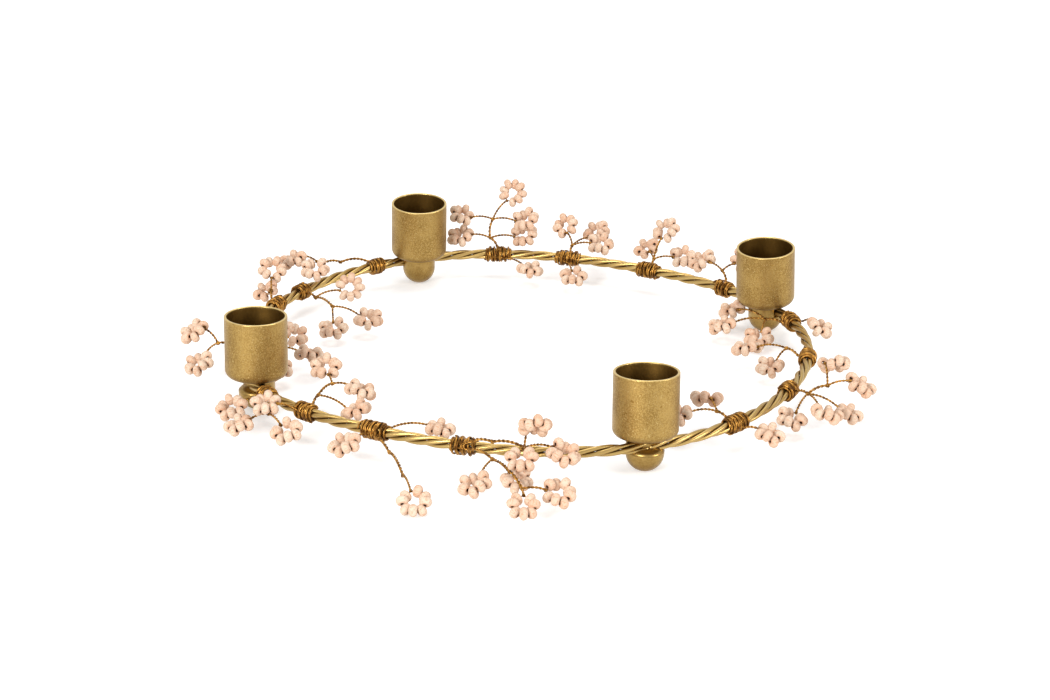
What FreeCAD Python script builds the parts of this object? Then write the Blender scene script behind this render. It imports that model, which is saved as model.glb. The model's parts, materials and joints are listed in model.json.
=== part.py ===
import FreeCAD, Part
import math
import os

import Sketcher
from FreeCAD import Placement, Rotation, Vector

# Candle ring: four twisted brass wires bent into a ring, four candle cups on domed feet,
# and sixteen bound wire twigs that carry loops of wooden beads.
# The origin is the middle of the ring on the table, +Z is up and -Y is the front.
# All lengths are in millimetres and all angles in degrees.

os.makedirs("parts", exist_ok=True)
doc = FreeCAD.newDocument("CandleRing")

# Driving dimensions, one row each in the sheet
DIMENSIONS = [
    # the twisted ring
    ("ring_radius", "117.5"),
    ("strand_diameter", "1.75"),
    ("strand_gap", "0.15"),
    ("strand_end_gap", "0.5"),
    # the candle cups, for standard 22 mm dinner candles
    ("cup_bore_diameter", "23"),
    ("cup_wall", "1"),
    ("cup_floor", "1.2"),
    ("cup_height", "25"),
    ("cup_corner_radius", "3"),
    ("cup_inner_corner_radius", "1.5"),
    ("rim_rounding", "0.3"),
    # the domed feet, each with a ledge that the ring lies on
    ("foot_diameter", "14.6"),
    ("foot_height", "13.8"),
    ("ledge_height", "8"),
    ("ledge_clearance", "0.2"),
    ("ledge_side_clearance", "0.5"),
    ("ring_offset", "2.2"),
    # the bound wires
    ("binding_wire", "0.6"),
    ("binding_turn_gap", "0.5"),
    ("binding_clearance", "0.2"),
    ("stem_diameter", "1.3"),
    ("branch_diameter", "0.8"),
    ("loop_wire", "0.4"),
    ("twig_reach", "30"),
    # the wooden beads
    ("bead_diameter", "4.2"),
    ("bead_length", "3"),
    ("bead_hole", "1"),
    ("bead_gap", "0.1"),
]

sheet = doc.addObject("Spreadsheet::Sheet", "Dimensions")
for row, (alias, value) in enumerate(DIMENSIONS, start=1):
    sheet.set("A%d" % row, alias)
    sheet.set("B%d" % row, value)
    sheet.setAlias("B%d" % row, alias)
doc.recompute()

# Unevenness of the hand-bent ring: waves round it, as shares of the ring's radius
SINE_WAVE_SHARES = {2: -0.024, 3: -0.007, 4: 0.020}
COSINE_WAVE_SHARES = {4: 0.008}

# Twist of the ring: whole turns of each strand in one round, and strands side by side
TWIST_TURNS = 20
STRAND_COUNT = 4
ARCS_STEPS_PER_TURN = 4

# Cups and feet: name, place round the ring as a share of a turn, lean inward, lean sideways
STATIONS = [
    ("right", 0.063, 4.3, -3.3),
    ("back", 0.313, 5.6, 1.4),
    ("left", 0.567, 1.1, -0.2),
    ("front", 0.811, 3.4, 1.5),
]

# Twigs: place round the ring as a share of a turn, turns of the binding, forks and loops.
# A fork is (name, where it comes from, along, outward, up), the last three as shares
# of the twig's reach, measured from the middle of the binding.
# A loop is (where it comes from, along, outward, up, lean along, lean outward, beads).
# A lean is the share of that direction in the loop's axis, which is upright at no lean.
TWIG_SHARES = [
    (0.586, 7,
     [("low", "knot", 0.60, 0.36, 0.02)],
     [("knot", -0.04, 0.52, -0.06, 0.2, 0.4, 8), ("low", 0.44, 0.70, -0.10, -0.2, 0.3, 7),
      ("low", 1.08, 0.38, -0.06, 0.15, 0.4, 8)]),
    (0.619, 8,
     [("inner", "knot", -0.12, -0.34, 0.10), ("far", "inner", -0.20, -0.68, 0.14)],
     [("far", 0.16, -0.84, 0.10, 0.2, -0.3, 8), ("inner", 0.46, -0.44, 0.02, -0.2, 0.2, 7),
      ("far", -0.56, -0.92, 0.22, 0.25, 0.35, 8), ("knot", -0.34, 0.38, 0.14, 0.2, 0.3, 7)]),
    (0.666, 11,
     [("low", "knot", 0.46, 0.40, -0.06), ("mid", "low", 0.94, 0.86, -0.10)],
     [("knot", -0.16, 0.46, -0.05, -0.2, 0.3, 8), ("knot", 0.72, -0.38, 0.04, 0.2, -0.2, 7),
      ("mid", 1.38, 1.32, -0.17, 0.3, 0.6, 8)]),
    (0.718, 9,
     [("top", "knot", 0.44, 0.20, 0.19), ("high", "top", 0.86, 0.24, 0.18),
      ("front", "knot", 0.52, 0.44, 0.06), ("low", "front", 1.06, 0.96, -0.04)],
     [("high", 0.98, 0.20, 0.46, -0.3, -0.8, 8), ("high", 1.38, 0.30, 0.20, 0.4, 0.2, 8),
      ("high", 0.94, 0.62, 0.20, 0.1, 0.6, 7), ("front", 0.44, 0.92, -0.08, -0.3, 0.3, 8),
      ("front", 0.90, 0.68, -0.06, 0.2, 0.3, 7), ("low", 1.48, 0.84, -0.08, 0.3, 0.4, 8),
      ("low", 1.18, 1.30, -0.10, 0.3, 0.6, 7)]),
    (0.866, 10,
     [("inner", "knot", 0.00, -0.30, 0.08)],
     [("inner", 0.22, -0.66, 0.09, 0.35, -0.25, 8), ("inner", -0.34, -0.62, 0.04, -0.3, -0.1, 6),
      ("knot", 0.18, 0.42, -0.08, 0.15, 0.35, 7)]),
    (0.922, 8,
     [("side", "knot", -0.18, 0.34, 0.08), ("tip", "side", 0.06, 0.52, 0.14)],
     [("tip", 0.30, 0.52, 0.36, 0.5, -0.3, 8), ("tip", 0.32, 0.88, 0.12, 0.2, 0.5, 8),
      ("side", -0.66, 0.30, -0.10, -0.2, 0.3, 7), ("side", -0.60, 0.74, 0.02, 0.3, 0.2, 8),
      ("side", -0.12, 0.88, -0.12, 0.2, 0.4, 7)]),
    (0.974, 8,
     [("inner", "knot", 0.20, -0.30, 0.06)],
     [("inner", 0.39, -0.86, -0.04, 0.2, -0.2, 8), ("inner", -0.06, -0.50, -0.12, -0.3, -0.2, 7)]),
    (0.036, 8,
     [("inner", "knot", 0.22, -0.30, -0.02)],
     [("inner", 0.86, -0.58, -0.06, 0.2, -0.3, 7), ("inner", 0.40, -0.88, -0.11, 0.1, -0.2, 8),
      ("inner", -0.10, -0.52, -0.16, -0.2, -0.1, 8), ("knot", -0.44, 0.26, 0.04, -0.4, 0.5, 7)]),
    (0.105, 8,
     [("over", "knot", 0.18, 0.16, 0.20)],
     [("over", 0.02, 0.44, 0.34, -0.5, -0.6, 7), ("over", 0.62, 0.20, 0.24, 0.3, -0.5, 8)]),
    (0.163, 10,
     [("over", "knot", 0.02, 0.20, 0.12)],
     [("over", 0.32, 0.50, 0.16, 0.3, -0.4, 7), ("over", -0.30, 0.54, 0.12, -0.3, -0.3, 8),
      ("over", 0.00, 0.52, 0.50, 0.1, -0.9, 8)]),
    (0.219, 10,
     [("over", "knot", 0.00, 0.20, 0.14)],
     [("knot", -0.24, -0.48, -0.11, -0.1, -0.2, 8), ("over", 0.14, 0.30, 0.42, 0.2, -0.9, 7),
      ("over", -0.42, 0.32, 0.18, -0.2, -0.4, 8), ("over", -0.24, 0.70, 0.24, 0.3, -0.5, 8)]),
    (0.263, 11,
     [("low", "knot", 0.12, 0.06, 0.24), ("high", "low", 0.08, 0.04, 0.55)],
     [("high", -0.22, 0.30, 0.90, 0.2, -1.8, 8), ("high", 0.56, 0.16, 0.58, -0.3, -0.4, 7),
      ("low", 0.58, 0.10, 0.26, 0.2, -0.3, 8), ("high", -0.42, 0.06, 0.54, 0.3, -0.5, 8),
      ("low", -0.40, 0.12, 0.28, 0.3, -0.7, 8), ("knot", -0.50, -0.48, -0.08, -0.2, -0.1, 7)]),
    (0.341, 7,
     [("behind", "knot", 0.52, 0.18, 0.12), ("end", "behind", 0.94, 0.10, 0.18)],
     [("end", 1.30, 0.26, 0.30, 0.3, 0.2, 8), ("end", 1.24, -0.22, 0.26, 0.3, -0.4, 8)]),
    (0.405, 7,
     [("inner", "knot", 0.16, -0.36, 0.02), ("mid", "inner", 0.36, -0.80, 0.02)],
     [("inner", -0.24, -0.70, 0.12, 1.4, -0.9, 8), ("mid", 0.30, -1.38, -0.08, 0.2, -0.2, 8),
      ("mid", 0.78, -1.10, -0.13, 0.2, -0.1, 8)]),
    (0.433, 8,
     [("over", "knot", -0.14, 0.16, 0.16)],
     [("over", -0.54, 0.36, 0.34, 0.6, -0.6, 8), ("over", -0.50, 0.46, 0.00, 0.4, 0.4, 7)]),
    (0.506, 8,
     [("outer", "knot", 0.10, 0.24, 0.08), ("inner", "knot", 0.14, -0.44, 0.02)],
     [("outer", 0.12, 0.56, 0.26, 0.2, 0.6, 8), ("outer", 0.52, 0.46, -0.06, 0.3, 0.4, 8),
      ("inner", -0.16, -0.80, 0.12, 0.5, -0.5, 7), ("inner", 0.26, -1.04, -0.01, -0.2, -0.2, 8),
      ("inner", 0.60, -0.64, -0.12, 0.2, 0.2, 7)]),
]

# Shapes that are told by shares of the piece they belong to
STEM_BULGE_SHARE = 0.10
KNOT_SWELL_SHARE = 1.2
FORK_SWELL_SHARE = 1.6
STEM_SINK_SHARE = 0.9
KNOT_SPREAD_SHARE = 0.2
NECK_PITCH_SHARE = 0.6
TANGENT_STEP_SHARE = 0.0001
GAP_SAMPLES_PER_TURN = 48


def size(alias):
    return float(sheet.get(alias))


# Sizes that follow from the driving dimensions
strand_radius = size("strand_diameter") / 2
strand_orbit = (size("strand_diameter") + size("strand_gap")) / math.sqrt(2)
rope_radius = strand_orbit + strand_radius
ring_height = size("ledge_height") + size("ledge_clearance") + rope_radius
foot_radius = size("foot_diameter") / 2
binding_orbit = rope_radius + size("binding_clearance") + size("binding_wire") / 2
binding_radius = binding_orbit + size("binding_wire") / 2
binding_pitch = size("binding_wire") + size("binding_turn_gap")
reach = size("twig_reach")
UP = Vector(0, 0, 1)


# The ring's centre line
def ring_radius_at(angle):
    wave = 1
    for count, share in SINE_WAVE_SHARES.items():
        wave += share * math.sin(count * angle)
    for count, share in COSINE_WAVE_SHARES.items():
        wave += share * math.cos(count * angle)
    return size("ring_radius") * wave


def ring_point(angle):
    radius = ring_radius_at(angle)
    return Vector(radius * math.cos(angle), radius * math.sin(angle), ring_height)


def ring_frame(angle):
    """The centre line's point, its direction and its outward side at an angle in radians."""
    before = ring_point(angle - TANGENT_STEP_SHARE)
    after = ring_point(angle + TANGENT_STEP_SHARE)
    along = (after - before).normalize()
    outward = Vector(along.y, -along.x, 0)
    return ring_point(angle), along, outward


def around_rope(angle, orbit, turn):
    """A point beside the centre line, at a distance and a direction round it in radians."""
    centre, along, outward = ring_frame(angle)
    return centre + outward * (orbit * math.cos(turn)) + UP * (orbit * math.sin(turn))


# Tubes
def arc_between(start, direction, end):
    """The arc that leaves start in a direction and reaches end."""
    chord = end - start
    length = chord.Length
    chord_unit = chord / length
    side = direction - chord_unit * direction.dot(chord_unit)
    turn = math.acos(max(-1, min(1, direction.dot(chord_unit))))
    middle = start + chord / 2 + side.normalize() * (length / 2 * math.tan(turn / 2))
    return Part.Arc(start, middle, end).toShape()


def biarc(start, start_direction, end, end_direction):
    """Two arcs that join two points and have the given directions there."""
    span = end - start
    both = start_direction + end_direction
    spread = 2 * (1 - start_direction.dot(end_direction))
    product = span.dot(both)
    handle = (-product + math.sqrt(product * product + spread * span.dot(span))) / spread
    joint = (start + end + (start_direction - end_direction) * handle) / 2
    first = arc_between(start, start_direction, joint)
    last = arc_between(end, end_direction * -1, joint)
    return [first, Part.Edge(last.Curve, last.FirstParameter, last.LastParameter).reversed()]


def pipe(edges, start, direction, radius):
    """One unbroken tube along edges that follow each other."""
    path = Part.Wire(edges)
    profile = Part.Wire(Part.makeCircle(radius, start, direction))
    sweep = Part.BRepOffsetAPI.MakePipeShell(path)
    sweep.add(profile)
    sweep.build()
    sweep.makeSolid()
    return sweep.shape()


def wound_tube(place, steps, radius):
    """A tube along a winding: place gives its point at a share of its length."""
    nudge = TANGENT_STEP_SHARE / steps
    points = [place(index / steps) for index in range(steps + 1)]
    ways = []
    for index in range(steps + 1):
        share = index / steps
        ways.append((place(share + nudge) - place(share - nudge)).normalize())
    edges = []
    for index in range(steps):
        edges += biarc(points[index], ways[index], points[index + 1], ways[index + 1])
    return pipe(edges, points[0], ways[0], radius)


def least_gap(place, turns, radius):
    """The smallest space between the turns of a winding, measured on points."""
    count = int(turns * GAP_SAMPLES_PER_TURN)
    points = [place(index / count) for index in range(count + 1)]
    apart = int(GAP_SAMPLES_PER_TURN * 2 / 3)
    least = min(
        (points[first] - points[second]).Length
        for first in range(count + 1)
        for second in range(first + apart, min(count + 1, first + 2 * GAP_SAMPLES_PER_TURN))
    )
    return least - 2 * radius


def add_piece(label, shape):
    piece = doc.addObject("Part::Feature", label)
    piece.Label = label
    piece.Shape = shape
    return piece


# The ring: each strand's ends meet on the ledge of another foot
def make_strand(index):
    meeting = 2 * math.pi * STATIONS[index % len(STATIONS)][1]
    gap_angle = size("strand_end_gap") / size("ring_radius")
    span = 2 * math.pi - gap_angle
    phase = 2 * math.pi * index / STRAND_COUNT

    def place(share):
        angle = meeting + gap_angle / 2 + span * share
        return around_rope(angle, strand_orbit, phase + TWIST_TURNS * angle)

    steps = TWIST_TURNS * ARCS_STEPS_PER_TURN
    shape = wound_tube(place, steps, strand_radius)
    gap = least_gap(place, TWIST_TURNS, strand_radius)
    print("ring_strand_%d gap to itself %.2f" % (index + 1, gap))
    return add_piece("ring_strand_%d" % (index + 1), shape)


# The cups and feet lean a little, each about the middle of its foot's dome
def station_frame(share):
    angle = 2 * math.pi * share
    centre, along, outward = ring_frame(angle)
    middle = centre - outward * size("ring_offset")
    middle.z = foot_radius
    level = Rotation(outward, along, UP, "ZXY")
    return middle, level


def station_placement(share, lean_in, lean_side):
    middle, level = station_frame(share)
    lean = Rotation(Vector(0, 1, 0), -lean_in).multiply(Rotation(Vector(1, 0, 0), -lean_side))
    return Placement(middle, level.multiply(lean)), lean


def edges_at_height(shape, height, radius):
    """Names of the round edges at a height with a radius, for a rounding."""
    names = []
    for index, edge in enumerate(shape.Edges, start=1):
        curve = edge.Curve
        if not isinstance(curve, Part.Circle):
            continue
        if abs(curve.Center.z - height) < TANGENT_STEP_SHARE * radius:
            if abs(curve.Radius - radius) < TANGENT_STEP_SHARE * radius:
                names.append("Edge%d" % index)
    return names


def round_edges(body, name, base, height, radius, alias):
    rounding = body.newObject("PartDesign::Fillet", name)
    rounding.Base = (base, edges_at_height(base.Shape, height, radius))
    rounding.setExpression("Radius", "Dimensions." + alias)
    doc.recompute()
    return rounding


def make_cup(name, placement):
    label = "candle_cup_" + name
    body = doc.addObject("PartDesign::Body", label)
    body.Label = label
    outside = body.newObject("PartDesign::AdditiveCylinder", "outside_" + name)
    outside.setExpression("Radius", "Dimensions.cup_bore_diameter / 2 + Dimensions.cup_wall")
    outside.setExpression("Height", "Dimensions.cup_height")
    bore = body.newObject("PartDesign::SubtractiveCylinder", "bore_" + name)
    bore.setExpression("Radius", "Dimensions.cup_bore_diameter / 2")
    bore.setExpression("Height", "Dimensions.cup_height")
    bore.setExpression("Placement.Base.z", "Dimensions.cup_floor")
    doc.recompute()
    bore_radius = size("cup_bore_diameter") / 2
    outer_radius = bore_radius + size("cup_wall")
    top = size("cup_height")
    corner = round_edges(body, "corner_" + name, bore, 0, outer_radius, "cup_corner_radius")
    floor = round_edges(
        body, "floor_" + name, corner, size("cup_floor"), bore_radius, "cup_inner_corner_radius"
    )
    lip = round_edges(body, "lip_" + name, floor, top, outer_radius, "rim_rounding")
    round_edges(body, "mouth_" + name, lip, top, bore_radius, "rim_rounding")
    rise = size("foot_height") - foot_radius
    body.Placement = placement.multiply(Placement(Vector(0, 0, rise), Rotation()))
    return body


# A foot: a half ball that runs up as a short post, with a ledge cut for the ring
def make_foot(name, placement, lean):
    label = "foot_" + name
    body = doc.addObject("PartDesign::Body", label)
    body.Label = label
    plane = [part for part in body.Origin.OriginFeatures if part.Role == "XZ_Plane"][0]
    sketch = body.newObject("Sketcher::SketchObject", "dome_outline_" + name)
    sketch.AttachmentSupport = (plane, [""])
    sketch.MapMode = "FlatFace"
    post = size("foot_height") - foot_radius
    dome = Part.Circle(Vector(0, 0, 0), Vector(0, 0, 1), foot_radius)
    sketch.addGeometry(Part.ArcOfCircle(dome, -math.pi / 2, 0))
    sketch.addGeometry(Part.LineSegment(Vector(foot_radius, 0, 0), Vector(foot_radius, post, 0)))
    sketch.addGeometry(Part.LineSegment(Vector(foot_radius, post, 0), Vector(0, post, 0)))
    sketch.addGeometry(Part.LineSegment(Vector(0, post, 0), Vector(0, -foot_radius, 0)))
    sketch.addConstraint(Sketcher.Constraint("Coincident", 0, 3, -1, 1))
    sketch.addConstraint(Sketcher.Constraint("Coincident", 0, 2, 1, 1))
    sketch.addConstraint(Sketcher.Constraint("Coincident", 1, 2, 2, 1))
    sketch.addConstraint(Sketcher.Constraint("Coincident", 2, 2, 3, 1))
    sketch.addConstraint(Sketcher.Constraint("Coincident", 3, 2, 0, 1))
    sketch.addConstraint(Sketcher.Constraint("Vertical", 1))
    sketch.addConstraint(Sketcher.Constraint("Horizontal", 2))
    sketch.addConstraint(Sketcher.Constraint("PointOnObject", 3, 1, -2))
    sketch.addConstraint(Sketcher.Constraint("PointOnObject", 0, 1, -2))
    sketch.addConstraint(Sketcher.Constraint("PointOnObject", 0, 2, -1))
    radius = sketch.addConstraint(Sketcher.Constraint("Radius", 0, foot_radius))
    sketch.setExpression("Constraints[%d]" % radius, "Dimensions.foot_diameter / 2")
    rise = sketch.addConstraint(Sketcher.Constraint("DistanceY", 1, 1, 1, 2, post))
    post_rule = "Dimensions.foot_height - Dimensions.foot_diameter / 2"
    sketch.setExpression("Constraints[%d]" % rise, post_rule)
    turned = body.newObject("PartDesign::Revolution", "dome_" + name)
    turned.Profile = sketch
    turned.ReferenceAxis = (sketch, ["V_Axis"])
    turned.Angle = 360
    doc.recompute()
    ledge = body.newObject("PartDesign::SubtractiveBox", "ledge_" + name)
    ledge.setExpression("Length", "Dimensions.foot_diameter")
    ledge.setExpression("Width", "Dimensions.foot_diameter * 2")
    ledge.setExpression("Height", "Dimensions.foot_height")
    wall = size("ring_offset") - rope_radius - size("ledge_side_clearance")
    corner = Vector(wall, -size("foot_diameter"), size("ledge_height") - foot_radius)
    level = lean.inverted()
    ledge.Placement = Placement(level.multVec(corner), level)
    doc.recompute()
    body.Placement = placement
    return body


# A bead: a barrel with a hole, round about the middle of its length
def bead_shape():
    half = size("bead_length") / 2
    hole = size("bead_hole") / 2
    outer = size("bead_diameter") / 2
    shoulder = bead_shoulder()
    outline = [
        Part.LineSegment(Vector(hole, 0, -half), Vector(shoulder, 0, -half)).toShape(),
        Part.Arc(Vector(shoulder, 0, -half), Vector(outer, 0, 0), Vector(shoulder, 0, half)).toShape(),
        Part.LineSegment(Vector(shoulder, 0, half), Vector(hole, 0, half)).toShape(),
        Part.LineSegment(Vector(hole, 0, half), Vector(hole, 0, -half)).toShape(),
    ]
    face = Part.Face(Part.Wire(outline))
    return face.revolve(Vector(0, 0, 0), UP, 360)


def bead_shoulder():
    """Radius of the flat round the hole, a little wider than the hole itself."""
    return size("bead_hole") / 2 + size("bead_hole") / 4


def bead_arc():
    """Radius of the bead's rounded side and how far its middle lies from the bead's axis."""
    half = size("bead_length") / 2
    rise = size("bead_diameter") / 2 - bead_shoulder()
    side = (half * half + rise * rise) / (2 * rise)
    return side, size("bead_diameter") / 2 - side


def bead_orbit(beads):
    """A loop is as tight as its beads let it be."""
    side, offset = bead_arc()
    half_pitch = math.pi / (beads + NECK_PITCH_SHARE)
    return offset + (side + size("bead_gap") / 2) / math.sin(half_pitch)


def loop_radius(beads):
    """The bent wire runs a little outside the beads' middles, to stay clear of their holes."""
    orbit = bead_orbit(beads)
    half = size("bead_length") / 2
    return orbit + half * half / (orbit * 4)


# Twigs
def bowed_stem(start, end, radius, first_knot, last_knot):
    """A stem that bows upward a little and ends just inside the knots at its two ends."""
    way = (end - start).normalize()
    start = start + way * (math.sqrt(first_knot ** 2 - radius ** 2) * STEM_SINK_SHARE)
    end = end - way * (math.sqrt(last_knot ** 2 - radius ** 2) * STEM_SINK_SHARE)
    chord = end - start
    side = UP - chord * (UP.dot(chord) / chord.dot(chord))
    middle = start + chord / 2 + side.normalize() * (chord.Length * STEM_BULGE_SHARE)
    curve = Part.Arc(start, middle, end)
    way = curve.tangent(curve.FirstParameter)[0]
    section = Part.Face(Part.Wire(Part.makeCircle(radius, start, way)))
    bend = curve.toShape()
    turned = math.degrees(bend.LastParameter - bend.FirstParameter)
    return section.revolve(bend.Curve.Center, bend.Curve.Axis, turned)


def twist_knot(place, radius, axis):
    """The small lump where wires are twisted together."""
    return Part.makeSphere(radius, place, axis)


def neck_lump(place, radius, axis, inward):
    """The lump at a loop's neck. Its seam is on the loop's inner side, clear of the wires."""
    lump = Part.makeSphere(radius)
    lump.Placement = Placement(place, Rotation(inward, axis.cross(inward), axis, "ZXY"))
    return lump


def join_wires(wires):
    """One solid from the lengths of wire and their knots, joined one after the other."""
    whole = wires[0]
    for wire in wires[1:]:
        whole = whole.fuse(wire)
    return whole


def twig_point(frame, shares):
    centre, along, outward = frame
    return centre + along * (reach * shares[0]) + outward * (reach * shares[1]) + UP * (reach * shares[2])


def knot_towards(frame, target, radius):
    """Where a stem leaves its binding on the way to a point."""
    centre, along, outward = frame
    way = target - centre
    spread = along * (way.dot(along) * KNOT_SPREAD_SHARE)
    way = way - along * way.dot(along)
    rise = binding_radius + size("binding_clearance") + radius
    return centre + spread + way.normalize() * rise


def make_twig(number, turn_share, binding_turns, forks, loops):
    frame = ring_frame(2 * math.pi * turn_share)
    centre, along, outward = frame
    step_angle = binding_pitch / (centre - UP * centre.z).Length

    def place(share):
        turns = binding_turns * (share - 1 / 2)
        return around_rope(2 * math.pi * turn_share + step_angle * turns, binding_orbit, 2 * math.pi * turns)

    binding = wound_tube(place, binding_turns * ARCS_STEPS_PER_TURN, size("binding_wire") / 2)
    gap = least_gap(place, binding_turns, size("binding_wire") / 2)
    print("binding_%02d gap to itself %.2f" % (number, gap))
    add_piece("binding_%02d" % number, binding)

    stem_radius = size("stem_diameter") / 2
    branch_radius = size("branch_diameter") / 2
    wire_radius = size("loop_wire") / 2
    fork_knot = stem_radius * FORK_SWELL_SHARE
    neck_knot = branch_radius * KNOT_SWELL_SHARE
    knot_axis = along + outward + UP
    wires = []
    places = {}
    for name, source, *shares in forks:
        places[name] = twig_point(frame, shares)
        wires.append(twist_knot(places[name], fork_knot, knot_axis))
        if source in places:
            start = places[source]
        else:
            start = knot_towards(frame, places[name], fork_knot)
            wires.append(twist_knot(start, fork_knot, knot_axis))
        wires.append(bowed_stem(start, places[name], stem_radius, fork_knot, fork_knot))

    beads = []
    unit_bead = bead_shape()
    for source, part_along, part_out, part_up, lean_along, lean_out, count in loops:
        middle = twig_point(frame, (part_along, part_out, part_up))
        axis = (UP + along * lean_along + outward * lean_out).normalize()
        if source in places:
            start = places[source]
        else:
            start = knot_towards(frame, middle, fork_knot)
            wires.append(twist_knot(start, fork_knot, knot_axis))
        towards = start - middle
        towards = (towards - axis * towards.dot(axis)).normalize()
        across = axis.cross(towards)
        radius = loop_radius(count)
        neck = middle + towards * radius
        wires.append(bowed_stem(start, neck, branch_radius, fork_knot, neck_knot))
        wires.append(neck_lump(neck, neck_knot, axis, towards * -1))
        # The loop is open by a little, and its two ends lie inside the knot at its neck
        dip = math.sqrt(neck_knot ** 2 - wire_radius ** 2) * STEM_SINK_SHARE / radius
        first = towards * math.cos(dip) + across * math.sin(dip)
        way = across * math.cos(dip) - towards * math.sin(dip)
        section = Part.Face(Part.Wire(Part.makeCircle(wire_radius, middle + first * radius, way)))
        wires.append(section.revolve(middle, axis, 360 - 2 * math.degrees(dip)))
        pitch = 2 * math.pi / (count + NECK_PITCH_SHARE)
        for index in range(count):
            turn = pitch * (index + 1 / 2 + NECK_PITCH_SHARE / 2)
            spoke = towards * math.cos(turn) + across * math.sin(turn)
            threaded = across * math.cos(turn) - towards * math.sin(turn)
            bead = unit_bead.copy()
            bead.Placement = Placement(middle + spoke * bead_orbit(count), Rotation(UP, threaded))
            beads.append(bead)
    wire = join_wires(wires)
    parts_volume = sum(item.Volume for item in wires)
    joined_share = wire.Volume / parts_volume
    print("twig_wire_%02d joined volume %.1f share %.2f" % (number, wire.Volume, joined_share))
    add_piece("twig_wire_%02d" % number, wire)
    add_piece("twig_beads_%02d" % number, Part.makeCompound(beads))


for strand in range(STRAND_COUNT):
    make_strand(strand)

for name, share, lean_in, lean_side in STATIONS:
    placement, lean = station_placement(share, lean_in, lean_side)
    make_foot(name, placement, lean)
    make_cup(name, placement)
    mouth = placement.multVec(Vector(0, 0, size("foot_height") - foot_radius + size("cup_height")))
    axis = placement.Rotation.multVec(UP)
    print("cup %s mouth %s axis %s" % (name, tuple(mouth), tuple(axis)))

for number, (turn_share, binding_turns, forks, loops) in enumerate(TWIG_SHARES, start=1):
    make_twig(number, turn_share, binding_turns, forks, loops)

doc.recompute()

# Check every object, then write one file for each piece
pieces = [item for item in doc.Objects if item.TypeId in ("PartDesign::Body", "Part::Feature")]
for item in doc.Objects:
    if "Invalid" in item.State or "Error" in item.State:
        raise RuntimeError("%s failed to build" % item.Name)
for piece in pieces:
    shape = piece.Shape
    if shape.isNull() or not shape.isValid() or not shape.Solids:
        raise RuntimeError("%s has no valid solid" % piece.Label)
    shape.exportStep(os.path.join("parts", piece.Label + ".step"))
print("%d pieces written" % len(pieces))
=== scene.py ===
"""A candle ring: twisted brass wires on domed feet, candle cups, and bound wire twigs of wooden beads."""

import json
import math
import random

import bpy
import numpy as np
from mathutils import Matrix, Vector


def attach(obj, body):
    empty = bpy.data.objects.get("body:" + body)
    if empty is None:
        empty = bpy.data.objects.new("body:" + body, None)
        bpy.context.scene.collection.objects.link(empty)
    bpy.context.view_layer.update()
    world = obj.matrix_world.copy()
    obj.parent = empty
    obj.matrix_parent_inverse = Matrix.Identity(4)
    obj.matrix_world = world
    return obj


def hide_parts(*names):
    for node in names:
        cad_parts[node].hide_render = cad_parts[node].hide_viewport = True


bl_info = {
    "name": "Candle Ring",
    "version": (1, 0, 0),
    "blender": (4, 5, 0),
    "location": "View3D > Sidebar > Candle Ring",
    "description": "Dresses a candle ring with its wires, beads and metal finishes",
    "category": "Object",
}

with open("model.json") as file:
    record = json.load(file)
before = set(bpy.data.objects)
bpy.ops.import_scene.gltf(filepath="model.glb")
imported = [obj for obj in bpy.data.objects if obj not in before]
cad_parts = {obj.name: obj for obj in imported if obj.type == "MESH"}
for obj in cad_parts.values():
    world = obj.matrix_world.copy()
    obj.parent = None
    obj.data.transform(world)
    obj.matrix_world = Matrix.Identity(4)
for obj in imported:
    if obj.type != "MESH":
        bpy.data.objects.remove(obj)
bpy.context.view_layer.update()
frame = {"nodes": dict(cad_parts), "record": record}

# Lengths in this file are in millimetres until a mesh is made, and the frame is in metres
METRE = 0.001
UP = np.array((0.0, 0.0, 1.0))

# The ring's line, as the solids have it
RING_RADIUS = 117.5
SINE_WAVE_SHARES = {2: -0.024, 3: -0.007, 4: 0.020}
COSINE_WAVE_SHARES = {4: 0.008}
TWIST_TURNS = 20
STRAND_COUNT = 4
STRAND_GAP = 0.15
STRAND_END_GAP = 0.5
STRAND_SIDES = 14
TWIST_STEPS = 36
STATION_SHARES = (0.063, 0.313, 0.567, 0.811)
LEDGE_TOP = 8.2
BINDING_WIRE = 0.6
BINDING_PITCH = 1.1
BINDING_CLEARANCE = 0.2
BINDING_WAVES = 3
BINDING_STEPS = 20
TWIG_REACH = 30
# The thin wires' sides, steps in a turn of a wrapped wire, and pitches of the twisted pairs
THIN_SIDES = 7
WRAP_SIDES = 6
WRAP_STEPS = 14
STEM_PITCH = 3.6
BRANCH_PITCH = 2.8
LOOP_POINTS = 48
# The wires wrapped at a stem's fork and a loop's neck: their circle and thickness as shares
# of the wire that they hold or come from, and their turns
WRAP_SHARE = 1.9
FORK_WIRE_SHARE = 0.9
FORK_TURNS = 2.6
NECK_WIRE_SHARE = 0.8
NECK_TURNS = 2.5
NECK_WRAP_REACH = 0.5
# Where a stem starts under its binding: heights over the ring's wires, and reach along it
STEM_ROOT_RISE = 0.35
STEM_CORNER_RISE = 0.6
STEM_ROOT_REACH = 3.2
FORK_KNOT = 1.04
KNOT_SPREAD_SHARE = 0.2
NECK_PITCH_SHARE = 0.6
STEM_BULGE_SHARE = 0.10
BEAD_STAGGER = 0.7
BEAD_ROWS = 13
BEAD_SIDES = 18
BUNCH_SHARE = 0.86
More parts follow.
